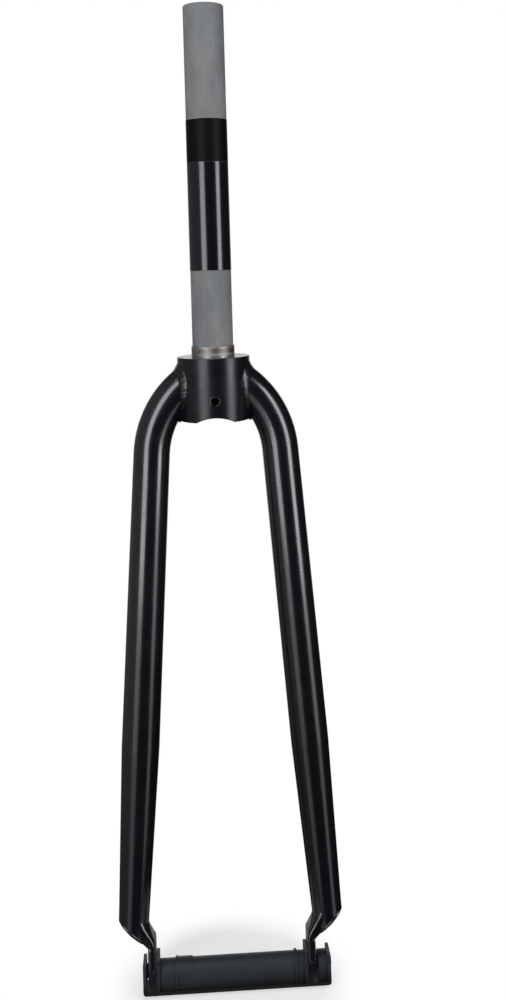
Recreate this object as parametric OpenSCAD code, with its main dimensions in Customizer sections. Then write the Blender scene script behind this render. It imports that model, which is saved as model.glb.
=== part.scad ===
// Rigid bicycle fork: a straight steerer tube in a turned crown collar, two round
// blades bent out of the collar and tapered to plug-in dropouts, and the plastic
// spacer that keeps the fork ends apart. Z runs up the steerer, the front faces -Y
// and the origin is the middle of the collar's top face, where the crown race sits.

/* [Steerer] */
// Outer diameter of the steerer tube
steerer_d = 28.6; // [25.4:0.1:31.8]
// Wall of the steerer tube
steerer_wall = 1.6; // [1.2:0.1:2.6]
// Length of the steerer above the collar
steerer_l = 245; // [170:5:300]
// Height above the collar at which the gloss sleeve starts
sleeve_from = 60; // [30:1:80]
// Length of the gloss sleeve
sleeve_l = 75; // [40:1:85]
// Thickness of the gloss sleeve
sleeve_t = 0.3; // [0.2:0.05:0.8]
// Length of the painted band above the sleeve
band_l = 30; // [10:1:40]
// Thickness of the painted band's coat
band_t = 0.2; // [0.18:0.01:0.4]

/* [Crown collar] */
// Outer diameter of the collar
crown_d = 50.8; // [48:0.1:56]
// Height of the collar
crown_h = 44; // [42:0.5:52]
// Diameter of the crown race seat
seat_d = 30.1; // [30:0.05:33]
// Height of the crown race seat
seat_h = 7.5; // [5:0.5:10]
// Diameter of the hole through the front wall for a mudguard or lamp bolt
bolt_hole_d = 6.5; // [5:0.1:8.5]
// Depth of the bolt hole below the collar's top
bolt_hole_drop = 29.3; // [18:0.1:31]
// Radius of the tyre arch in the collar's underside
arch_r = 26; // [20:1:60]
// Height of the tyre arch
arch_h = 3.5; // [2:0.5:6]

/* [Blades] */
// Outer diameter of a blade above its taper
blade_d = 25.4; // [22:0.1:28.6]
// Outer diameter of a blade at its lower end
tip_d = 19.6; // [16:0.1:21]
// Wall of a blade
blade_wall = 1.4; // [1:0.1:2]
// Centreline radius of the bend below the collar
bend_r = 64; // [56:1:72]
// Angle from the vertical at which a blade leaves the collar
entry_angle = 45.7; // [44:0.1:50]
// Depth below the collar's top at which a blade's middle line leaves the collar
entry_drop = 23.7; // [21:0.1:27]
// Outward lean of a blade below its bend
splay = 3.65; // [3.2:0.05:3.9]
// Length of the taper above the blade's end
taper_l = 115; // [60:5:180]
// Slant of the cut across the blade's end
end_slant = 38; // [25:1:42]

/* [Fork ends] */
// Height from the axle to the collar's top, along the steerer
axle_drop = 399; // [370:1:440]
// Forward offset of the axle
rake = 46; // [30:1:60]
// Width between the dropouts, that of the hub
hub_w = 100; // [98:0.5:102]
// Thickness of a dropout tab
tab_t = 4.8; // [3.5:0.1:6]
// Radius of the tab round the axle
tab_r = 11; // [9:0.5:13]
// Width of the open axle slot
slot_w = 9.2; // [9:0.1:10.5]
// Distance from the axle up to the middle of the blade's end
end_rise = 26; // [24.5:0.5:30]

/* [Fork end spacer] */
// Height of the spacer's bar, base to crest
bar_h = 18; // [17:0.5:22]
// Depth of the spacer's bar, front to back
bar_depth = 16; // [12:0.5:19]
// Thickness of the spacer's walls
moulding_t = 2.1; // [1.6:0.1:2.4]
// Step of the base in front of the bar
base_lip = 1.6; // [0.5:0.1:3]
// Room between the wider end's tab and its outer plate
wide_end = 7.5; // [3:0.5:9]
// Room between the narrower end's tab and its outer plate
narrow_end = 1.5; // [0.5:0.1:2.5]
// Running clearance between the spacer and the tabs
spacer_gap = 0.3; // [0.2:0.05:0.5]

/* [Hidden] */
$fn = 96;
rake_angle = atan(rake / axle_drop);
axle_v = -axle_drop / cos(rake_angle);
crown_r = crown_d / 2;
bend_c = [crown_r - bend_r * cos(entry_angle), -entry_drop - bend_r * sin(entry_angle)];
bend_end_v = bend_c[1] + bend_r * sin(splay);
leg_l = (bend_end_v - axle_v - end_rise) / cos(splay);
mitre_angle = 20;
cut_over = 14;
edge = 0.8;
chamfer = 0.4;
sleeve_gap = 0.02;
sleeve_top = sleeve_from + sleeve_l;
plug_l = 16;
cutter = 120;
tab_x = hub_w / 2;
tab_out = tab_x + tab_t;
tab_low = 6;
tab_top = end_rise - 1;
tab_land = 1.4;
tab_slope = 6;
neck_w = 4;
neck_h = 12;
spacer_in = tab_x - spacer_gap;
narrow_in = tab_out + narrow_end;
wide_in = tab_out + wide_end;
base_room = 3.3;
bar_low = -tab_low - base_room - moulding_t;
bar_crest = bar_low + bar_h;
bar_r = bar_depth / 2;
outer_rise = 0.5;
inner_rise = 3.5;
rib_t = 1.6;
rib_rise = 1;
rib_in = [12.5, 7];
pad_l = 9.5;
pad_rise = 0.6;
corner_r = 2;
nub_d = 5;
nub_h = 0.9;

// A blade's outer or inner form, cut down by wall all round, along its own line
module leg_form(wall, over) {
    r_top = blade_d / 2 - wall;
    r_tip = tip_d / 2 - wall;
    grow = (r_tip - r_top) / taper_l;
    rotate([90, 0, 0]) translate(bend_c) rotate(splay) {
        rotate_extrude(angle = entry_angle + mitre_angle + over - splay)
            translate([bend_r, 0]) circle(r = r_top);
        translate([bend_r, 0]) rotate([90, 0, 0]) {
            cylinder(r = r_top, h = leg_l - taper_l);
            translate([0, 0, leg_l - taper_l])
                cylinder(r1 = r_top, r2 = r_tip + grow * cut_over, h = taper_l + cut_over);
        }
    }
}

// Everything below the slanted end of a blade
module below_end() {
    rotate([90, 0, 0]) translate(bend_c) rotate(splay) translate([bend_r, -leg_l])
        rotate(end_slant) translate([-cutter / 2, -cutter, -cutter / 2]) cube(cutter);
}

// The part of a blade's line that its plug fills
module plug_zone() {
    rotate([90, 0, 0]) translate(bend_c) rotate(splay) translate([bend_r, -leg_l])
        translate([-blade_d, -blade_d, -blade_d])
            cube([2 * blade_d, blade_d + plug_l, 2 * blade_d]);
}

// Side outline of a dropout tab, with the axle at its origin
module tab_side() {
    difference() {
        union() {
            circle(r = tab_r);
            polygon([
                [-tab_r, 0], [tab_r, 0], [tip_d / 2 - 1.5, end_rise], [1.5 - tip_d / 2, end_rise]
            ]);
        }
        circle(d = slot_w);
        translate([-slot_w / 2, -2 * tab_r]) square([slot_w, 2 * tab_r]);
        translate([-2 * tab_r, -2 * tab_r - tab_low]) square([4 * tab_r, 2 * tab_r]);
    }
}

// Front outline carried across the tab's width
module tab_slab(front) {
    translate([0, 0, axle_v]) intersection() {
        translate([tab_x - 1, 0, 0]) rotate([90, 0, 90])
            linear_extrude(height = 2 * tab_t + 2) tab_side();
        translate([0, 2 * tab_r, 0]) rotate([90, 0, 0])
            linear_extrude(height = 4 * tab_r) polygon(front);
    }
}

// Flat tab, sloped off above, with the neck that carries it into the plug
module tab() {
    tab_slab([
        [tab_x, -2 * tab_r], [tab_out, -2 * tab_r], [tab_out, tab_top],
        [tab_out - tab_land, tab_top], [tab_x, tab_top - tab_slope]
    ]);
    difference() {
        tab_slab([
            [tab_out - tab_land, tab_top - neck_h], [tab_out + neck_w, tab_top - neck_h],
            [tab_out + neck_w, tab_top], [tab_out - tab_land, tab_top]
        ]);
        below_end();
    }
}

// Cylinder that arches the collar and the steerer over the tyre
module tyre_arch() {
    translate([0, crown_d, arch_h - crown_h - arch_r])
        rotate([90, 0, 0]) cylinder(r = arch_r, h = 2 * crown_d);
}

// Bolt hole through the front wall of the collar and the steerer in it
module bolt_hole() {
    translate([0, 0, -bolt_hole_drop])
        rotate([90, 0, 0]) cylinder(d = bolt_hole_d, h = crown_d);
}

module steerer_tube() {
    outer_r = steerer_d / 2;
    inner_r = outer_r - steerer_wall;
    color([0.52, 0.53, 0.55]) difference() {
        rotate_extrude() polygon([
            [inner_r, -crown_h], [outer_r, -crown_h],
            [outer_r, sleeve_top], [outer_r + band_t, sleeve_top],
            [outer_r + band_t, sleeve_top + band_l], [outer_r, sleeve_top + band_l],
            [outer_r, steerer_l - chamfer], [outer_r - chamfer, steerer_l],
            [inner_r + chamfer, steerer_l], [inner_r, steerer_l - chamfer]
        ]);
        tyre_arch();
        bolt_hole();
    }
}

module steerer_sleeve() {
    color([0.05, 0.05, 0.06]) translate([0, 0, sleeve_from]) difference() {
        cylinder(r = steerer_d / 2 + sleeve_t, h = sleeve_l);
        translate([0, 0, -1]) cylinder(r = steerer_d / 2 + sleeve_gap, h = sleeve_l + 2);
    }
}

module crown_collar() {
    seat_r = seat_d / 2;
    color([0.24, 0.25, 0.28]) difference() {
        rotate_extrude() polygon([
            [steerer_d / 2, -crown_h], [crown_r - edge, -crown_h], [crown_r, edge - crown_h],
            [crown_r, -edge], [crown_r - edge, 0], [seat_r, 0],
            [seat_r, seat_h - chamfer], [seat_r - chamfer, seat_h], [steerer_d / 2, seat_h]
        ]);
        tyre_arch();
        bolt_hole();
    }
}

// One blade, on the rider's left
module blade() {
    color([0.24, 0.25, 0.28]) rotate([-rake_angle, 0, 0]) difference() {
        leg_form(0, 0);
        leg_form(blade_wall, 1);
        rotate([rake_angle, 0, 0]) translate([0, 0, -2 * crown_h])
            cylinder(r = crown_r, h = 3 * crown_h);
        below_end();
        tab();
    }
}

module fork_blades() {
    blade();
    mirror([1, 0, 0]) blade();
}

// One dropout, on the rider's left: a plug that fills the blade's end, and its tab
module dropout() {
    color([0.27, 0.28, 0.31]) rotate([-rake_angle, 0, 0]) union() {
        difference() {
            intersection() {
                leg_form(blade_wall, 0);
                plug_zone();
            }
            below_end();
        }
        tab();
    }
}

module left_dropout() {
    dropout();
}

module right_dropout() {
    mirror([1, 0, 0]) dropout();
}

// Side outline of the spacer's bar, round on top, grown all round but below
module bar_side(grow) {
    translate([0, bar_crest - bar_r]) circle(r = bar_r + grow);
    translate([-bar_r - grow, bar_low])
        square([2 * (bar_r + grow), bar_h - bar_r]);
}

// An outline drawn from the side, carried sideways from x
module across(x, width) {
    translate([x, 0, 0]) rotate([90, 0, 90]) linear_extrude(height = width) children();
}

// Front outline of the base with its two outer plates, rounded at the lower corners
module outer_frame(left, right, high) {
    difference() {
        translate([left, bar_low]) square([right - left, high]);
        translate([left + moulding_t, bar_low + moulding_t])
            square([right - left - 2 * moulding_t, high]);
        translate([left, bar_low]) corner_cut();
        translate([right, bar_low]) mirror([1, 0]) corner_cut();
    }
}

// What a rounded corner takes off a square one
module corner_cut() {
    difference() {
        translate([-1, -1]) square(corner_r + 1);
        translate([corner_r, corner_r]) circle(r = corner_r);
    }
}

// Upright plate of the spacer, rise above its bar
module plate(x, rise) {
    translate([x, -bar_r - base_lip, bar_low])
        cube([moulding_t, bar_depth + base_lip, bar_h + rise]);
}

// Round stub that lies in the axle slot
module stub(from, to) {
    translate([from, 0, 0]) rotate([0, 90, 0])
        cylinder(d = slot_w - 2 * spacer_gap, h = to - from);
}

// Inside of a length of bar, open to the back below its round top
module bar_hollow(from, to) {
    across(from + moulding_t, to - from - 2 * moulding_t) {
        translate([0, bar_crest - bar_r]) circle(r = bar_r - moulding_t);
        translate([moulding_t - bar_r, bar_low + moulding_t])
            square([bar_depth, bar_h - bar_r - moulding_t]);
    }
}

module fork_end_spacer() {
    rib_x = [rib_in[0] - spacer_in, spacer_in - rib_in[1] - rib_t];
    low_x = -narrow_in - moulding_t;
    color([0.10, 0.11, 0.12]) rotate([-rake_angle, 0, 0]) translate([0, 0, axle_v]) {
        difference() {
            union() {
                across(-spacer_in, 2 * spacer_in) bar_side(0);
                for (x = rib_x) across(x, rib_t) bar_side(rib_rise);
                across(rib_x[0], rib_t + pad_l) intersection() {
                    bar_side(pad_rise);
                    translate([-bar_depth, 0]) square([2 * bar_depth, bar_h]);
                }
            }
            bar_hollow(-spacer_in, spacer_in);
        }
        across(narrow_in, wide_in - narrow_in) bar_side(0);
        translate([0, bar_r, 0]) rotate([90, 0, 0]) linear_extrude(height = bar_depth + base_lip)
            outer_frame(low_x, wide_in + moulding_t, bar_h + outer_rise);
        plate(-spacer_in, inner_rise);
        plate(spacer_in - moulding_t, inner_rise);
        translate([wide_in + moulding_t / 2, 0, 0]) rotate([0, 90, 0])
            cylinder(d = nub_d, h = moulding_t / 2 + nub_h);
        stub(-narrow_in - moulding_t / 2, -spacer_in + moulding_t / 2);
        stub(spacer_in - moulding_t / 2, narrow_in + moulding_t / 2);
    }
}

steerer_tube();
steerer_sleeve();
crown_collar();
fork_blades();
left_dropout();
right_dropout();
fork_end_spacer();
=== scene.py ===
import math

import bpy
import numpy as np
from mathutils import Matrix, Vector


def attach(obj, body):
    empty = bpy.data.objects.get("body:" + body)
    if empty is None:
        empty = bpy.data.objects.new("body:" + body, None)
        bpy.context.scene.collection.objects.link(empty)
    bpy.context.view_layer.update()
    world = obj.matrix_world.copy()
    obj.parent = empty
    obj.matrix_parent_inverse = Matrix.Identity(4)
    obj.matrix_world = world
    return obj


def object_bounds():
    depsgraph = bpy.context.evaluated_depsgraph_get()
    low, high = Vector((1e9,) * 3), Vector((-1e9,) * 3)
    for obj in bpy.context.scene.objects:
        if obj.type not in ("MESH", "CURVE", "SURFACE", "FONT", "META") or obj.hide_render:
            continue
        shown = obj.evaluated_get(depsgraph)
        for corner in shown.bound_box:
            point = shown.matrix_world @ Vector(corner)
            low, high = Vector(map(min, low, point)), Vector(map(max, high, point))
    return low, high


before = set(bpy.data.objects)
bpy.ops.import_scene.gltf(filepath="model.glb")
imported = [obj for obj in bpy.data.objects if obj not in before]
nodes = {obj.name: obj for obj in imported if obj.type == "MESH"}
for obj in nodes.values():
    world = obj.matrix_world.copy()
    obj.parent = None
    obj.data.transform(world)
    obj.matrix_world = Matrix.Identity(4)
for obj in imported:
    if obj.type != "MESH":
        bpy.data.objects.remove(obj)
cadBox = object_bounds()
scene = bpy.context.scene
print("frame loaded:", len(nodes), "nodes")

# Sizes that the new pieces share with the solids, in metres. The blades' middle line lies in
# a plane tilted forward by the rake, with u across the fork and v up the plane.
fork = {
    "rake": 0.046, "drop": 0.399,                        # the axle, from the collar's top
    "crownRadius": 0.0254, "bladeRadius": 0.0127, "tipRadius": 0.0098,
    "bendRadius": 0.064, "entryAngle": math.radians(45.7), "entryDrop": 0.0237,
    "splay": math.radians(3.65),                         # each leg leans outwards
    "endRise": 0.026, "endSlant": math.radians(38),      # the cut across a leg's lower end
}
rakeAngle = math.atan(fork["rake"] / fork["drop"])
bendCentre = np.array([
    fork["crownRadius"] - fork["bendRadius"] * math.cos(fork["entryAngle"]),
    -fork["entryDrop"] - fork["bendRadius"] * math.sin(fork["entryAngle"]),
])
axleV = -fork["drop"] / math.cos(rakeAngle)
legLength = (bendCentre[1] + fork["bendRadius"] * math.sin(fork["splay"]) - axleV
             - fork["endRise"]) / math.cos(fork["splay"])

# The focal length and the optical centre are in pixels of the 506 x 1000 picture. The eye is
# set so that the middle of the collar's top lands on the pixel given as "lands".
shot = {
    "size": (506, 1000), "focus": 1142, "centre": (253, 262), "lands": (213.2, 355.8),
    "distance": 0.80, "yaw": math.radians(3.0), "roll": math.radians(-1.71),
    "sensor": 36, "clip": (0.01, 50),
}


def placeCamera(view):
    flat = Vector((math.cos(view["yaw"]), -math.sin(view["yaw"]), 0))
    ahead = Vector((math.sin(view["yaw"]), math.cos(view["yaw"]), 0))
    level = Vector((0, 0, 1))
    right = flat * math.cos(view["roll"]) + level * math.sin(view["roll"])
    up = level * math.cos(view["roll"]) - flat * math.sin(view["roll"])
    across = (view["lands"][0] - view["centre"][0]) / view["focus"] * view["distance"]
    above = -(view["lands"][1] - view["centre"][1]) / view["focus"] * view["distance"]
    eye = -ahead * view["distance"] - right * across - up * above
    lens = bpy.data.cameras.new("camera")
    camera = bpy.data.objects.new("camera", lens)
    scene.collection.objects.link(camera)
    turn = Matrix((right, up, -ahead)).transposed().to_4x4()
    camera.matrix_world = Matrix.Translation(eye) @ turn
    width, height = view["size"]
    lens.sensor_width = view["sensor"]
    lens.lens = view["sensor"] * view["focus"] / height      # the long side sets the fit
    lens.shift_x = (width / 2 - view["centre"][0]) / height
    lens.shift_y = (view["centre"][1] - height / 2) / height
    lens.clip_start, lens.clip_end = view["clip"]
    scene.camera = camera


placeCamera(shot)
print("camera placed")

# Each window is a tall sheet of light: its direction from the fork in degrees (0 is the
# front, + is to the right), distance, lowest and highest point, width and radiance. The lower
# ones are dimmer, so that the light on the blades dies away towards the axle.
windows = {
    "leftWindow": (-34, 1.30, -0.21, 0.95, 0.60, 3.6),
    "leftMiddle": (-34, 1.30, -0.50, -0.21, 0.60, 0.66),
    "leftFoot": (-34, 1.30, -0.90, -0.50, 0.60, 0.38),
    "rightWindow": (54, 1.30, -0.21, 0.95, 0.46, 4.7),
    "rightMiddle": (54, 1.30, -0.50, -0.21, 0.46, 1.10),
    "rightFoot": (54, 1.30, -0.90, -0.50, 0.46, 0.58),
}
# Two more point at the collar: place, width, height and radiance.
lamps = {
    "overhead": ((0, -0.25, 1.30), 0.9, 0.9, 0.9),
    "highlight": ((-0.70, -1.04, 1.40), 0.60, 0.22, 16),
}
daylight = (0.91, 0.955, 1.0)


def hangLamp(name, place, target, width, height, radiance):
    data = bpy.data.lights.new(name, "AREA")
    data.shape, data.size, data.size_y = "RECTANGLE", width, height
    data.energy = radiance * math.pi * width * height
    data.color = daylight
    lamp = bpy.data.objects.new(name, data)
    scene.collection.objects.link(lamp)
    lamp.location = place
    lamp.rotation_mode = "QUATERNION"
    lamp.rotation_quaternion = (Vector(target) - Vector(place)).to_track_quat("-Z", "Y")
    lamp.visible_camera = False


for name, (turn, far, low, high, width, radiance) in windows.items():
    angle, middle = math.radians(turn), (low + high) / 2
    place = (far * math.sin(angle), -far * math.cos(angle), middle)
    hangLamp(name, place, (0, 0, middle), width, high - low, radiance)
for name, (place, width, height, radiance) in lamps.items():
    hangLamp(name, place, (0, 0, 0), width, height, radiance)
print("lamps hung:", len(windows) + len(lamps))


# Short ways to add nodes to a tree. What adds a node gives back its output.
class Wiring:
    def __init__(self, tree):
        self.put, self.link = tree.nodes.new, tree.links.new

    # links an output, or sets a colour or a number
    def feed(self, socket, value):
        if isinstance(value, bpy.types.NodeSocket):
            self.link(value, socket)
        elif socket.type == "RGBA":
            socket.default_value = (*value, 1)
        else:
            socket.default_value = value

    def fill(self, node, values):
        for name, value in values.items():
            self.feed(node.inputs[name], value)

    def maths(self, kind, a, b):
        made = self.put("ShaderNodeMath")
        made.operation = kind
        self.feed(made.inputs[0], a)
        self.feed(made.inputs[1], b)
        return made.outputs[0]

    # bottom below low, top above high, eased between
    def step(self, value, low, high, bottom=0.0, top=1.0):
        made = self.put("ShaderNodeMapRange")
        made.interpolation_type = "SMOOTHSTEP"
        self.fill(made, {"Value": value, "From Min": low, "From Max": high,
                         "To Min": bottom, "To Max": top})
        return made.outputs["Result"]

    def edge(self, value, place, blur, bottom=0.0, top=1.0):
        return self.step(value, place - blur, place + blur, bottom, top)

    def blend(self, factor, a, b, kind="RGBA", way="MIX"):
        made = self.put("ShaderNodeMix")
        made.data_type, made.blend_type = kind, way
        self.fill(made, {"Factor": factor, "A": a, "B": b})
        return made.outputs["Result"]

    # 1 for what the fork mirrors or lets through
    def mirrorRay(self, path):
        return self.maths("MAXIMUM", path["Is Glossy Ray"], path["Is Transmission Ray"])


# The camera sees white, and "room" lights the fork from all sides. What it mirrors is a white
# sweep behind it, a grey wall on the left and the dark elsewhere, dimmer below the horizon.
surroundings = {
    "room": 0.30, "dark": 0.02, "left": 0.18, "leftFrom": 0.45, "leftTo": 0.80,
    "low": 0.35, "lowFrom": -0.45, "lowTo": -0.10,
    "sweep": 1.0, "sweepFrom": 0.80, "sweepTo": 0.95,
}


def makeWorld(look):
    world = bpy.data.worlds.new("studio")
    scene.world = world
    world.use_nodes = True
    world.node_tree.nodes.clear()
    w = Wiring(world.node_tree)
    path = w.put("ShaderNodeLightPath").outputs
    split = w.put("ShaderNodeSeparateXYZ")
    w.link(w.put("ShaderNodeTexCoord").outputs["Generated"], split.inputs[0])
    x, y, z = split.outputs
    dimmed = w.step(z, look["lowFrom"], look["lowTo"], look["low"], 1)
    sweep = w.step(y, look["sweepFrom"], look["sweepTo"], 0, look["sweep"])
    wall = w.step(w.maths("MULTIPLY", x, -1), look["leftFrom"], look["leftTo"],
                  look["dark"], look["left"])
    around = w.maths("MAXIMUM", w.maths("MULTIPLY", sweep, dimmed),
                     w.maths("MULTIPLY", wall, dimmed))
    level = w.blend(w.mirrorRay(path), look["room"], around, "FLOAT")
    level = w.blend(path["Is Camera Ray"], level, 1.0, "FLOAT")
    glow, out = w.put("ShaderNodeBackground"), w.put("ShaderNodeOutputWorld")
    w.fill(glow, {"Color": (1, 1, 1), "Strength": level})
    w.link(glow.outputs[0], out.inputs["Surface"])


makeWorld(surroundings)
print("world made")


# A principled material whose patterns lie on the piece's own place in metres.
class Finish(Wiring):
    def __init__(self, name):
        self.material = bpy.data.materials.new(name)
        self.material.use_nodes = True
        super().__init__(self.material.node_tree)
        self.shader = self.material.node_tree.nodes["Principled BSDF"]
        self.where = self.put("ShaderNodeTexCoord").outputs["Object"]

    def set(self, values):
        self.fill(self.shader, values)

    def distance(self, a, b):
        made = self.put("ShaderNodeVectorMath")
        made.operation = "DISTANCE"
        self.feed(made.inputs[0], a)
        self.feed(made.inputs[1], b)
        return made.outputs["Value"]

    def axes(self):
        split = self.put("ShaderNodeSeparateXYZ")
        self.link(self.where, split.inputs[0])
        return split.outputs

    # how far the point is from the steerer's middle line, sqrt(x^2 + y^2)
    def radius(self):
        axes, flat = self.axes(), self.put("ShaderNodeCombineXYZ")
        self.fill(flat, {"X": axes["X"], "Y": axes["Y"]})
        return self.distance(flat.outputs[0], (0, 0, 0))

    # blobs per metre along x, y and z
    def noise(self, blobs, detail, rough=0.55):
        mapping, made = self.put("ShaderNodeMapping"), self.put("ShaderNodeTexNoise")
        self.fill(mapping, {"Vector": self.where, "Scale": blobs})
        self.fill(made, {"Vector": mapping.outputs[0], "Scale": 1, "Detail": detail,
                         "Roughness": rough})
        return made.outputs["Fac"]

    # a height that wanders up and down with a noise, over the given range
    def ragged(self, height, noise, span):
        shift = self.maths("MULTIPLY", self.maths("SUBTRACT", noise, 0.5), span)
        return self.maths("ADD", height, shift)

    def bump(self, value, depth, under=None):
        made = self.put("ShaderNodeBump")
        self.fill(made, {"Strength": 1, "Distance": depth, "Height": value})
        if under:
            self.link(under, made.inputs["Normal"])
        return made.outputs["Normal"]


floorLook = {
    "colour": (0.78, 0.78, 0.78), "rough": 0.9, "specular": 0.1,
    "radius": 0.092, "middle": (0, -0.046), "rings": 12, "steps": 96,
    "fadeFrom": 0.02, "fadeTo": 0.088, "haze": 0.60,
}


# That many angles, evenly round a full turn.
def roundTurn(steps):
    return np.linspace(0, 2 * np.pi, steps, endpoint=False)


# A disc of rings: (r, a) -> (r cos a, r sin a), with the rings closer together near the middle.
def floorDisc(radius, rings, steps):
    r = radius * np.linspace(0, 1, rings + 1)[1:] ** 2
    a = roundTurn(steps)
    ring = np.stack([np.outer(r, np.cos(a)), np.outer(r, np.sin(a)), np.zeros((rings, steps))], -1)
    points = np.vstack([[[0, 0, 0]], ring.reshape(-1, 3)])
    k = np.arange(steps)
    fan = np.stack([np.zeros(steps, int), 1 + k, 1 + (k + 1) % steps], -1).tolist()
    i = (1 + np.arange(rings - 1) * steps)[:, None]
    quads = np.stack([i + k, i + steps + k, i + steps + (k + 1) % steps, i + (k + 1) % steps], -1)
    return points, fan + quads.reshape(-1, 4).tolist()


# Pale floor under the fork, which keeps its shadow and fades into the world behind it.
def makeFloorFinish(look, middle):
    f = Finish("paleFloor")
    f.set({"Base Color": look["colour"], "Roughness": look["rough"],
           "Specular IOR Level": look["specular"]})
    path = f.put("ShaderNodeLightPath").outputs
    seen = f.maths("MAXIMUM", path["Is Camera Ray"], f.mirrorRay(path))
    fade = f.step(f.distance(f.where, middle), look["fadeFrom"], look["fadeTo"])
    veil = f.maths("MULTIPLY", f.maths("MAXIMUM", fade, look["haze"]), seen)
    mix, clear = f.put("ShaderNodeMixShader"), f.put("ShaderNodeBsdfTransparent")
    for socket, source in zip(mix.inputs, (veil, f.shader.outputs[0], clear.outputs[0])):
        f.link(source, socket)
    f.link(mix.outputs[0], f.material.node_tree.nodes["Material Output"].inputs["Surface"])
    return f.material


def layFloor(look, height):
    middle = (*look["middle"], height)
    points, faces = floorDisc(look["radius"], look["rings"], look["steps"])
    mesh = bpy.data.meshes.new("floor")
    mesh.from_pydata((points + middle).tolist(), [], faces)
    mesh.materials.append(makeFloorFinish(look, middle))
    floor = bpy.data.objects.new("floor", mesh)
    scene.collection.objects.link(floor)


layFloor(floorLook, cadBox[0].z)
print("floor laid")

# Noise keeps near 0.5, so a step over this range spreads it from 0 to 1.
spread = (0.3, 0.7)

# Gloss paint with a faint orange peel. Each pattern, here and below, is its blobs per metre
# along x, y and z, its detail and, where it is given, its roughness. Depths are in metres.
paintLook = {
    "dark": (0.0024, 0.0021, 0.0036), "light": (0.0041, 0.0036, 0.0060), "clouds": ((9, 9, 9), 4),
    "rough": (0.19, 0.24), "smears": ((60, 60, 60), 3),
    "specular": 1.0, "coat": 0.4, "coatRough": 0.10,
    "peel": ((380, 380, 380), 2), "peelDepth": 0.000006,
    "specks": ((2600, 2600, 2600), 1), "speckDepth": 0.0000006,
}
weldLook = {**paintLook, "rough": (0.25, 0.34), "specular": 0.75, "coat": 0.1}
scuffedLook = {**paintLook, "rough": (0.34, 0.46), "specular": 0.4, "coat": 0.0}
collarLook = {**paintLook, "rough": (0.27, 0.32)}


def paintParts(f, look):
    clouds = f.step(f.noise(*look["clouds"]), *spread)
    colour = f.blend(clouds, look["dark"], look["light"])
    rough = f.step(f.noise(*look["smears"]), *spread, *look["rough"])
    peel = f.bump(f.noise(*look["peel"]), look["peelDepth"])
    normal = f.bump(f.noise(*look["specks"]), look["speckDepth"], peel)
    return colour, rough, normal


def makePaint(name, look):
    f = Finish(name)
    colour, rough, normal = paintParts(f, look)
    f.set({"Base Color": colour, "Roughness": rough, "Normal": normal, "Coat Normal": normal,
           "Coat Weight": look["coat"], "Coat Roughness": look["coatRough"],
           "Specular IOR Level": look["specular"]})
    return f.material


# Bare drawn steel with a band of matte paint high on it and a dark bore.
steelLook = {
    "dark": (0.285, 0.277, 0.277), "light": (0.41, 0.398, 0.398), "tone": (0.38, 0.62),
    "streaks": ((900, 900, 14), 4, 0.65), "streakShare": 0.22,       # drawn along the tube
    "patches": ((70, 70, 32), 5, 0.6), "patchShare": 0.42,
    "speckle": ((1100, 1100, 1100), 3, 0.7), "speckleShare": 0.36,
    "cool": (0.96, 1.0, 1.025), "warm": (1.035, 1.0, 0.985),
    "hues": ((62, 62, 34), 2), "hueSpread": (0.4, 0.6),
    "rough": (0.80, 0.92), "metal": 0.75, "specular": 0.12, "streakDepth": 0.00002,
    "rubs": ((260, 260, 700), 2), "rubDepth": 0.000012,              # rubbed crosswise
    "inside": (0.05, 0.045, 0.042), "insideRadius": 0.0134, "insideBlur": 0.0002,
    "band": (0.0030, 0.0027, 0.0042), "bandRough": 0.48, "bandRagged": 0.0006,
    "bandFrom": 0.135, "bandFromBlur": 0.0002, "bandTo": 0.165, "bandToBlur": 0.0003,
}


def makeSteel(look):
    f = Finish("bareSteel")
    streaks, patches, speckle = (f.noise(*look[name]) for name in ("streaks", "patches", "speckle"))
    tone = f.maths("ADD", f.maths("MULTIPLY", streaks, look["streakShare"]),
                   f.maths("MULTIPLY", patches, look["patchShare"]))
    tone = f.maths("ADD", tone, f.maths("MULTIPLY", speckle, look["speckleShare"]))
    metal = f.blend(f.step(tone, *look["tone"]), look["dark"], look["light"])
    hue = f.blend(f.step(f.noise(*look["hues"]), *look["hueSpread"]), look["cool"], look["warm"])
    metal = f.blend(1, metal, hue, way="MULTIPLY")
    rough = f.step(tone, *spread, *look["rough"])
    uneven = f.ragged(f.axes()["Z"], patches, look["bandRagged"])
    above = f.edge(uneven, look["bandFrom"], look["bandFromBlur"])
    below = f.edge(uneven, look["bandTo"], look["bandToBlur"], 1, 0)
    band = f.maths("MULTIPLY", above, below)
    skin = f.blend(band, metal, look["band"])
    inside = f.edge(f.radius(), look["insideRadius"], look["insideBlur"], 1, 0)
    scratch = f.bump(streaks, look["streakDepth"])
    f.set({"Base Color": f.blend(inside, skin, look["inside"]),
           "Metallic": f.maths("MULTIPLY", f.maths("SUBTRACT", 1.0, band), look["metal"]),
           "Roughness": f.blend(band, rough, look["bandRough"], "FLOAT"),
           "Specular IOR Level": look["specular"],
           "Normal": f.bump(f.noise(*look["rubs"]), look["rubDepth"], scratch)})
    return f.material


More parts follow.
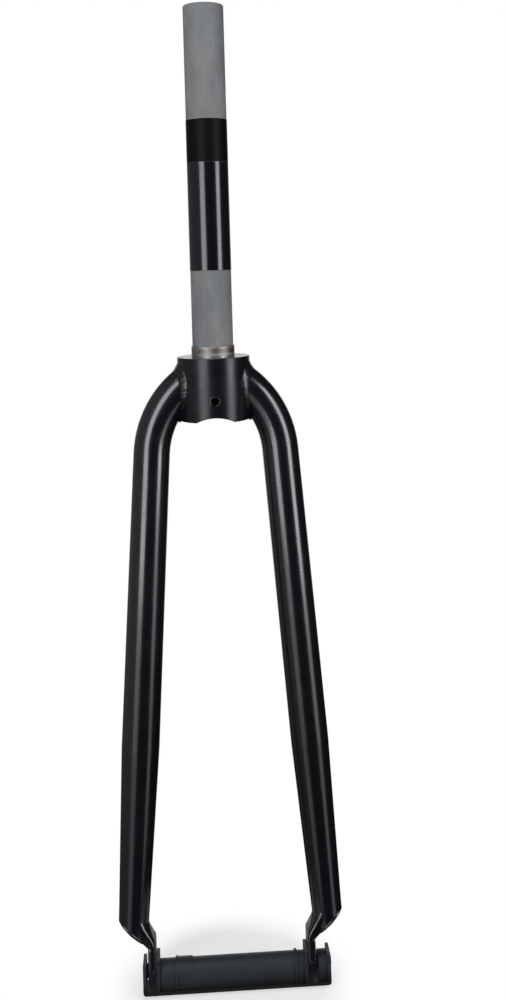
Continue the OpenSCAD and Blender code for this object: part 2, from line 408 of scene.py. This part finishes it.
# The race seat above the painted collar is turned on a lathe and tinted by the weld's heat.
seatLook = {
    "bright": (0.50, 0.48, 0.46), "dull": (0.34, 0.32, 0.31),
    "patches": ((120, 120, 160), 4, 0.6), "patchSpread": (0.35, 0.65),
    "rings": ((30, 30, 5200), 2), "ringDepth": 0.000006,
    "rough": 0.5, "topRough": 0.30, "roughFrom": 0.0003, "roughTo": 0.0006, "specular": 0.66,
    "paintTo": -0.00010, "paintBlur": 0.0001,
    "tint": (0.21, 0.13, 0.065), "tintFrom": 0.0028, "tintTo": 0.0060, "tintBlur": 0.0006,
    "wander": ((75, 75, 20), 3), "wanderSpan": 0.004,
    "blotches": ((75, 75, 30), 3), "blotchSpread": (0.38, 0.58), "blotchDepth": (0.25, 0.75),
}


def makeCollarFinish(paint, look):
    f = Finish("paintedCollar")
    colour, rough, normal = paintParts(f, paint)
    height = f.axes()["Z"]
    bare = f.edge(height, look["paintTo"], look["paintBlur"])
    patches = f.step(f.noise(*look["patches"]), *look["patchSpread"])
    metal = f.blend(patches, look["dull"], look["bright"])
    uneven = f.ragged(height, f.noise(*look["wander"]), look["wanderSpan"])
    rise = f.edge(uneven, look["tintFrom"], look["tintBlur"])
    fall = f.edge(uneven, look["tintTo"], look["tintBlur"], 1, 0)
    blotch = f.step(f.noise(*look["blotches"]), *look["blotchSpread"], *look["blotchDepth"])
    heat = f.maths("MULTIPLY", f.maths("MULTIPLY", rise, fall), blotch)
    metal = f.blend(heat, metal, look["tint"])
    turned = f.step(height, look["roughFrom"], look["roughTo"], look["topRough"], look["rough"])
    f.set({"Base Color": f.blend(bare, colour, metal), "Metallic": bare,
           "Roughness": f.blend(bare, rough, turned, "FLOAT"),
           "Specular IOR Level": look["specular"],
           "Normal": f.bump(f.noise(*look["rings"]), look["ringDepth"], normal)})
    return f.material


# A gloss film round the tube, a little uneven.
sleeveLook = {
    "colour": (0.0029, 0.0030, 0.0044), "clouds": ((40, 40, 18), 2), "lighter": 1.8,
    "rough": (0.15, 0.20), "smears": ((50, 50, 25), 3), "specular": 0.85,
    "dents": ((200, 200, 120), 2), "dentDepth": 0.000004,
}


def makeSleeveFinish(look):
    f = Finish("glossSleeve")
    lighter = tuple(look["lighter"] * part for part in look["colour"])
    f.set({"Base Color": f.blend(f.noise(*look["clouds"]), look["colour"], lighter),
           "Roughness": f.step(f.noise(*look["smears"]), *spread, *look["rough"]),
           "Specular IOR Level": look["specular"],
           "Normal": f.bump(f.noise(*look["dents"]), look["dentDepth"])})
    return f.material


# Moulded plastic, with painted light: paler towards its upper edge, as if lit from above.
plasticLook = {
    "dark": (0.0055, 0.0058, 0.0065), "light": (0.010, 0.0105, 0.0115), "clouds": ((26, 26, 26), 4),
    # Painted light: the paler colour on the upper part stands in for light falling from above.
    "paintedTopLight": (0.0238, 0.0280, 0.0330), "paintedTopLightFrom": -0.4065, "paintedTopLightTo": -0.3985, "paintedTopLightRagged": 0.006,
    "rough": (0.40, 0.52), "smears": ((90, 90, 90), 3), "specular": 0.3,
    "grain": ((1500, 1500, 1500), 2), "grainDepth": 0.00002,
}


def makePlastic(look):
    f = Finish("satinPlastic")
    clouds = f.noise(*look["clouds"])
    skin = f.blend(f.step(clouds, *spread), look["dark"], look["light"])
    # Painted light: the upper part is blended towards the paler colour, as light from above would
    # show it.
    uneven = f.ragged(f.axes()["Z"], clouds, look["paintedTopLightRagged"])
    paintedTopLightShare = f.step(uneven, look["paintedTopLightFrom"], look["paintedTopLightTo"])
    f.set({"Base Color": f.blend(paintedTopLightShare, skin, look["paintedTopLight"]),
           "Roughness": f.step(f.noise(*look["smears"]), *spread, *look["rough"]),
           "Specular IOR Level": look["specular"],
           "Normal": f.bump(f.noise(*look["grain"]), look["grainDepth"])})
    return f.material


darkPaint = makePaint("darkPaint", paintLook)
weldPaint = makePaint("weldPaint", weldLook)
scuffedPaint = makePaint("scuffedPaint", scuffedLook)
finishes = {
    "steerer_tube": makeSteel(steelLook),
    "steerer_sleeve": makeSleeveFinish(sleeveLook),
    "crown_collar": makeCollarFinish(collarLook, seatLook),
    "fork_blades": darkPaint,
    "left_dropout": scuffedPaint,
    "right_dropout": scuffedPaint,
    "fork_end_spacer": makePlastic(plasticLook),
}
for name, material in finishes.items():
    slots = nodes[name].material_slots
    if len(slots) == 0:
        nodes[name].data.materials.append(material)
    for slot in slots:
        slot.material = material
print("finishes made:", len(set(finishes.values())))


# A grid of points, closed both ways, becomes a mesh of quads between neighbours. It is turned
# outside out if the sum of the corners' volumes, a . (b x c + c x d), is negative.
def closedSheet(name, grid, material):
    n, m = grid.shape[:2]
    i, j = np.meshgrid(np.arange(n), np.arange(m), indexing="ij")
    a, b = (i + 1) % n, (j + 1) % m
    quads = np.stack([i * m + j, a * m + j, a * m + b, i * m + b], -1).reshape(-1, 4)
    points = grid.reshape(-1, 3)
    corner = points[quads]
    volume = np.einsum("ij,ij->i", corner[:, 0], np.cross(corner[:, 1], corner[:, 2])
                       + np.cross(corner[:, 2], corner[:, 3])).sum()
    if volume < 0:
        quads = quads[:, ::-1]
    mesh = bpy.data.meshes.new(name)
    mesh.vertices.add(len(points))
    mesh.vertices.foreach_set("co", points.astype(np.float32).ravel())
    mesh.loops.add(quads.size)
    mesh.loops.foreach_set("vertex_index", quads.astype(np.int32).ravel())
    mesh.polygons.add(len(quads))
    mesh.polygons.foreach_set("loop_start", np.arange(0, quads.size, 4, dtype=np.int32))
    mesh.update(calc_edges=True)
    mesh.shade_smooth()
    mesh.materials.append(material)
    piece = bpy.data.objects.new(name, mesh)
    scene.collection.objects.link(piece)
    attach(piece, "root")


# The same piece on both legs. The right one is given as it would stand on the left, and is
# mirrored here: (x, y, z) -> (-x, y, z).
def onBothLegs(name, left, right, material):
    closedSheet(name + "Left", left, material)
    closedSheet(name + "Right", right * [-1, 1, 1], material)


# A point (u, v) of the tilted plane and a distance w off it, in the shared frame, with a for
# the rake's angle: x = u, y = v sin a + w cos a, z = v cos a - w sin a.
def offPlane(u, v, w):
    c, s = math.cos(rakeAngle), math.sin(rakeAngle)
    return np.stack([u, v * s + w * c, v * c - w * s], -1)


# The same with all three in millimetres and v measured up from the axle.
def nearAxle(u, v, w):
    return offPlane(u / 1000, axleV + v / 1000, w / 1000)


# Each row divided by its length.
def unit(vectors):
    return vectors / np.linalg.norm(vectors, axis=1)[:, None]


# How far round a closed line each of its points lies, from 0 to 2 pi, and the line's length.
def lap(line):
    gaps = np.linalg.norm(np.roll(line, -1, 0) - line, axis=1)
    return (np.cumsum(gaps) - gaps) / gaps.sum() * 2 * np.pi, gaps.sum()


# The sum of a sin(n s + p) over a list of (a, n, p).
def waves(s, parts):
    return sum(a * np.sin(n * s + p) for a, n, p in parts)


# A tube along a closed line: line + r (cos q out + sin q side), where out is turned square
# to the line and side is square to both. r has one row a ring and one column a side.
def tubeGrid(line, out, r):
    along = unit(np.roll(line, -1, 0) - np.roll(line, 1, 0))
    out = unit(out - along * (out * along).sum(1)[:, None])
    side = np.cross(along, out)
    q = roundTurn(r.shape[1])[None, :, None]
    return line[:, None] + r[..., None] * (np.cos(q) * out[:, None] + np.sin(q) * side[:, None])


# The fillet of weld where a blade meets the collar. "sway" and "lumps" make its puddles
# uneven round the seam, as (size, waves, shift), and the right weld is the rougher one.
crownWeld = {
    "width": 0.0042, "depth": 0.0014,                    # on the blade, and under the skins
    "onCollar": 0.8, "cornerDepth": 1.3,                 # shares of the width and the depth
    "under": 0.55, "underPower": 4,                      # share of the width lost underneath
    "flatter": 0.3,                                      # share of the lift at top and bottom
    "steps": 480, "across": 11,
    "reach": math.radians(32), "halvings": 40,           # the search for the seam
    "sway": ((0.9, 3, 0.4), (0.6, 7, 0.0)),
    "lumps": ((0.5, 4, 1.1), (0.4, 7, 2.3), (0.4, 13, 0.7)),
}
leftPuddle = {"lift": 0.0011, "ripple": 0.00004, "lump": 0.00010, "pitch": 0.0034}
rightPuddle = {"lift": 0.0009, "ripple": 0.00011, "lump": 0.00024, "pitch": 0.0029}


# A point of the bent blade, at angle q round the tube and angle t round the bend, R from the
# bend's centre: u = (R + r cos q) cos t, v = (R + r cos q) sin t, w = r sin q.
def tubePoint(q, t, radius):
    reach = fork["bendRadius"] + radius * np.cos(q)
    return offPlane(bendCentre[0] + reach * np.cos(t), bendCentre[1] + reach * np.sin(t),
                    radius * np.sin(q))


# The line where the blade meets the round collar: for each q, the range of t is halved until
# that point of the tube is one collar radius from the steerer's middle line.
def crownSeam(q, weld):
    low = np.full(len(q), fork["splay"])
    high = np.full(len(q), fork["entryAngle"] + weld["reach"])
    for halving in range(weld["halvings"]):
        middle = (low + high) / 2
        point = tubePoint(q, middle, fork["bladeRadius"])
        outside = np.hypot(point[:, 0], point[:, 1]) > fork["crownRadius"]
        low, high = np.where(outside, middle, low), np.where(outside, high, middle)
    return low


# A fillet in the corner of the seam. Its section runs from a foot A on the collar past the
# corner C to a foot B on the blade, as the Bezier arc (1-p)^2 A + 2p(1-p) C + p^2 B, raised
# by the lift, ripples and lumps of the puddle, and closed again under both skins.
def crownFillet(weld, puddle):
    q = roundTurn(weld["steps"])
    t = crownSeam(q, weld)
    seam = tubePoint(q, t, fork["bladeRadius"])
    size = weld["width"] * (1 - weld["under"] * (0.5 - 0.5 * np.cos(q)) ** weld["underPower"])
    # foot on the blade: the seam slid along the tube, away from the collar
    slid = t - size / (fork["bendRadius"] + fork["bladeRadius"] * np.cos(q))
    onBlade = tubePoint(q, slid, fork["bladeRadius"])
    # foot on the collar: the seam unrolled flat, moved out square to itself, rolled up again
    flat = np.stack([fork["crownRadius"] * np.arctan2(seam[:, 1], seam[:, 0]), seam[:, 2]], -1)
    run = unit(np.roll(flat, -1, 0) - np.roll(flat, 1, 0))
    aside = np.stack([run[:, 1], -run[:, 0]], -1)
    aside *= np.sign(((flat - flat.mean(0)) * aside).sum(1))[:, None]
    flat = flat + aside * size[:, None] * weld["onCollar"]
    turn = flat[:, 0] / fork["crownRadius"]
    onCollar = np.stack([fork["crownRadius"] * np.cos(turn), fork["crownRadius"] * np.sin(turn),
                         flat[:, 1]], -1)
    # outwards halfway between the two skins
    offCollar = seam * [1, 1, 0] / fork["crownRadius"]
    lean = unit((seam - tubePoint(q, t, 0.0)) / fork["bladeRadius"] + offCollar)
    s, length = lap(seam)
    beats = round(length / puddle["pitch"])
    ripples = 0.5 * np.sin(beats * s + waves(s, weld["sway"]))
    level = weld["flatter"] + (1 - weld["flatter"]) * np.abs(np.sin(q))
    raised = (puddle["lift"] * level + puddle["ripple"] * ripples
              + puddle["lump"] * waves(s, weld["lumps"]))
    p = np.linspace(0, 1, weld["across"])[None, :, None]
    corner = seam[:, None]
    arc = (1 - p) ** 2 * onCollar[:, None] + 2 * p * (1 - p) * corner + p ** 2 * onBlade[:, None]
    arc = arc + 4 * p * (1 - p) * raised[:, None, None] * lean[:, None]
    inCollar = onCollar - weld["depth"] * onCollar * [1, 1, 0] / fork["crownRadius"]
    inBlade = onBlade - weld["depth"] * (onBlade - tubePoint(q, slid, 0.0)) / fork["bladeRadius"]
    inCorner = seam - weld["depth"] * weld["cornerDepth"] * lean
    return np.concatenate([arc, inBlade[:, None], inCorner[:, None], inCollar[:, None]], 1)


onBothLegs("crownWeld", crownFillet(crownWeld, leftPuddle), crownFillet(crownWeld, rightPuddle),
           weldPaint)

# The bead round a blade's slanted end.
endWeld = {
    "radius": 0.0011, "sink": 0.0008, "pitch": 0.0040,
    "ripple": 0.05, "rippleMean": 0.6, "lump": 0.08, "lumpBehind": 0.4,
    "sway": ((0.8, 3, 0.4), (0.5, 7, 0.0)),
    "lumps": ((0.5, 5, 1.1), (0.3, 9, 2.3), (0.35, 16, 0.7)),
    "clear": 0.00005,                                    # stays this far inside the CAD box
    "steps": 320, "sides": 18, "turned": 60,             # rings that the right bead is turned by
}


# The rim of the slanted cut: for each angle q round the leg, the way s down the leg to the
# cut's plane is s = leg length - r cos q tan slant.
def endSeam(steps, radius):
    q = roundTurn(steps)
    over = np.array([math.cos(fork["splay"]), math.sin(fork["splay"])])
    down = np.array([over[1], -over[0]])
    s = legLength - radius * np.cos(q) * math.tan(fork["endSlant"])
    top = bendCentre + fork["bendRadius"] * over
    point = top + down * s[:, None] + over * radius * np.cos(q)[:, None]
    return offPlane(point[:, 0], point[:, 1], radius * np.sin(q))


# A bead's radius, which swells with the puddles, |sin|, and with a few slow, uneven lumps,
# both more on its face, (1 + cos q) / 2, than behind.
def beadRadius(line, weld):
    s, length = lap(line)
    beats = round(length / weld["pitch"])
    ripples = np.abs(np.sin(beats * s / 2 + waves(s, weld["sway"]))) - weld["rippleMean"]
    face = 0.5 + 0.5 * np.cos(roundTurn(weld["sides"]))
    lumpy = weld["lumpBehind"] + (1 - weld["lumpBehind"]) * face
    return weld["radius"] * (1 + weld["ripple"] * ripples[:, None] * face
                             + weld["lump"] * waves(s, weld["lumps"])[:, None] * lumpy)


def endBead(weld):
    rim = endSeam(weld["steps"], fork["tipRadius"])
    out = unit(rim - endSeam(weld["steps"], 0.0))
    line = rim - out * weld["sink"]
    bead = tubeGrid(line, out, beadRadius(line, weld))
    bead[..., 0] = np.minimum(bead[..., 0], cadBox[1].x - weld["clear"])
    return bead


rimBead = endBead(endWeld)
onBothLegs("endWeld", rimBead, np.roll(rimBead, endWeld["turned"], 0), darkPaint)
print("weld beads made")

# The shoulder that carries the tab up into the blade's end, in millimetres: height above the
# axle, inner and outer edge and the ridge between them across the fork, half its depth from
# front to back, and how square its inner side is.
shoulder = {
    "height": (13.0, 13.6, 16.0, 18.0, 20.0, 22.0, 24.0, 26.0, 28.0, 30.0, 32.0, 34.0, 35.0),
    "inner": (50.5, 49.85, 49.8, 49.9, 50.2, 50.9, 51.8, 52.7, 53.5, 54.0, 54.5, 55.2, 56.5),
    "ridge": (52.4, 52.4, 52.5, 52.8, 53.6, 54.8, 56.2, 57.6, 58.8, 59.8, 60.6, 61.2, 61.5),
    "outer": (54.3, 54.95, 55.15, 56.0, 58.0, 60.0, 61.5, 63.0, 64.0, 65.0, 66.0, 66.0, 66.0),
    "depth": (9.4, 10.3, 10.1, 9.85, 9.6, 9.4, 9.2, 9.15, 9.3, 9.35, 9.2, 8.9, 8.2),
    "square": (7, 7, 6.5, 6, 5, 4.2, 3.4, 2.8, 2.4, 2.1, 2, 2, 2), "outerSquare": 2.0,
    "rings": 90, "sides": 72, "core": 0.15, "blur": 5,
}


# A row of such a table, read off at the heights v and averaged over 2 blur + 1 neighbours.
def smoothRow(v, heights, row, blur):
    window = np.full(2 * blur + 1, 1 / (2 * blur + 1))
    return np.convolve(np.pad(np.interp(v, heights, row), blur, mode="edge"), window, "valid")


# sign(c) |c|^(2/n): a circle's cosine or sine for n = 2, and squarer for more
def squared(c, n):
    return np.sign(c) * np.abs(c) ** (2 / n)


# A stack of rings: in each ring, u = ridge + a |cos q|^(2/n) and w = b |sin q|^(2/n), where a
# reaches to the inner edge on one side and to the outer edge, with n = 2, on the other. The
# stack is closed by a narrow core that runs back down inside.
def shoulderGrid(look):
    v = np.linspace(look["height"][0], look["height"][-1], look["rings"])
    inner, ridge, outer, depth, square = (
        smoothRow(v, look["height"], look[name], look["blur"])[:, None]
        for name in ("inner", "ridge", "outer", "depth", "square"))
    q = roundTurn(look["sides"])[None, :]
    inwards = np.cos(q) < 0
    n = np.where(inwards, square, look["outerSquare"])
    u = ridge + np.where(inwards, ridge - inner, outer - ridge) * squared(np.cos(q), n)
    w = depth * squared(np.sin(q), n)
    u = np.vstack([u, ridge[-1] + (u[-1:] - ridge[-1]) * look["core"],
                   ridge[0] + (u[:1] - ridge[0]) * look["core"]])
    w = np.vstack([w, w[-1:] * look["core"], w[:1] * look["core"]])
    v = np.concatenate([v, v[-1:], v[:1]])[:, None] + 0 * u
    return nearAxle(u, v, w)


tabShoulder = shoulderGrid(shoulder)
onBothLegs("tabShoulder", tabShoulder, tabShoulder, darkPaint)

# The rounded front and back edges of the tabs, in millimetres. "low" is where the front and
# the back edge start, from the axle, and "end" is how long an edge takes to reach full size.
tabEdge = {
    "low": {"Front": 3.2, "Back": -5.9}, "high": 17.5, "end": 2.4, "tip": 0.02,
    "middle": 52.4, "half": 2.44, "endHalf": 0.6, "bulge": 0.8, "sunk": 1.0,
    "tabRadius": 11.0, "topHalf": 8.3, "topHeight": 26.0,
    "clear": 0.03, "least": -0.1, "core": 0.2, "rings": 80, "sides": 28,
}


# An oval carried up the tab's edge, w(v) = sqrt(R^2 - v^2) below the axle and a straight line
# above it. Towards both ends it shrinks by sqrt(1 - (1 - e)^2), with e the share of "end".
def tabEdgeGrid(look, name, side):
    low = look["low"][name]
    v = np.linspace(low, look["high"], look["rings"])
    below = np.sqrt(look["tabRadius"] ** 2 - np.minimum(v, 0) ** 2)
    narrowing = (look["topHalf"] - look["tabRadius"]) / look["topHeight"]
    edge = np.where(v < 0, below, look["tabRadius"] + narrowing * np.maximum(v, 0))[:, None]
    fromEnd = np.minimum(v - low, look["high"] - v) / look["end"]
    swell = np.sqrt(1 - (1 - np.clip(fromEnd, look["tip"], 1)) ** 2)[:, None]
    q = roundTurn(look["sides"])[None, :]
    half = look["half"] * (look["endHalf"] + (1 - look["endHalf"]) * swell)
    u = look["middle"] + half * np.cos(q)
    # it bulges no further forward than the tab itself reaches
    limit = (-cadBox[0].y + (axleV + v / 1000) * math.sin(rakeAngle)) / math.cos(rakeAngle) * 1000
    bulge = np.clip(limit[:, None] - edge - look["clear"], look["least"], look["bulge"])
    w = (edge + np.where(np.sin(q) > 0, bulge, look["sunk"]) * np.sin(q) * swell) * side
    u = np.vstack([u, look["middle"] + (u[-1:] - look["middle"]) * look["core"],
                   look["middle"] + (u[:1] - look["middle"]) * look["core"]])
    w = np.vstack([w, w[-1:], w[:1]])
    v = np.concatenate([v, v[-1:], v[:1]])[:, None] + 0 * u
    return nearAxle(u, v, w)


for name, side in (("Front", -1), ("Back", 1)):
    oval = tabEdgeGrid(tabEdge, name, side)
    onBothLegs("tabEdge" + name, oval, oval, darkPaint)

# The rounded upper edge of the collar.
topEdge = {"round": 0.0008, "sunk": 0.0005, "steps": 240, "across": 14}


# A quarter arc, r = R - c + c cos q and z = c sin q - c, closed inside the metal and turned
# round Z, with R for the collar's radius and c for the edge's.
def topEdgeGrid(look):
    turn = roundTurn(look["steps"])[:, None]
    q = np.linspace(0, np.pi / 2, look["across"])
    middle = fork["crownRadius"] - look["round"]
    r = np.concatenate([middle + look["round"] * np.cos(q),
                        [middle, fork["crownRadius"] - look["sunk"]]])
    z = np.concatenate([look["round"] * np.sin(q), [-look["sunk"], -look["sunk"]]]) - look["round"]
    return np.stack([r * np.cos(turn), r * np.sin(turn), z + 0 * turn], -1)


closedSheet("collarTopEdge", topEdgeGrid(topEdge), finishes["crown_collar"])

# The burr round the bolt hole.
holeRim = {"radius": 0.00325, "drop": 0.0293, "bead": 0.00042, "steps": 96, "sides": 12}


# A thin tube along the hole's circle, x = r cos q and z = r sin q - drop, where it lies on the
# collar's front, y = -sqrt(R^2 - x^2).
def holeRimGrid(look):
    q = roundTurn(look["steps"])
    x, z = look["radius"] * np.cos(q), look["radius"] * np.sin(q) - look["drop"]
    line = np.stack([x, -np.sqrt(fork["crownRadius"] ** 2 - x ** 2), z], -1)
    forward = np.tile([0.0, -1.0, 0.0], (look["steps"], 1))
    return tubeGrid(line, forward, np.full((look["steps"], look["sides"]), look["bead"]))


closedSheet("boltHoleRim", holeRimGrid(holeRim), darkPaint)
print("shoulders, tab edges and hole rim made")

scene.view_settings.view_transform = "Standard"
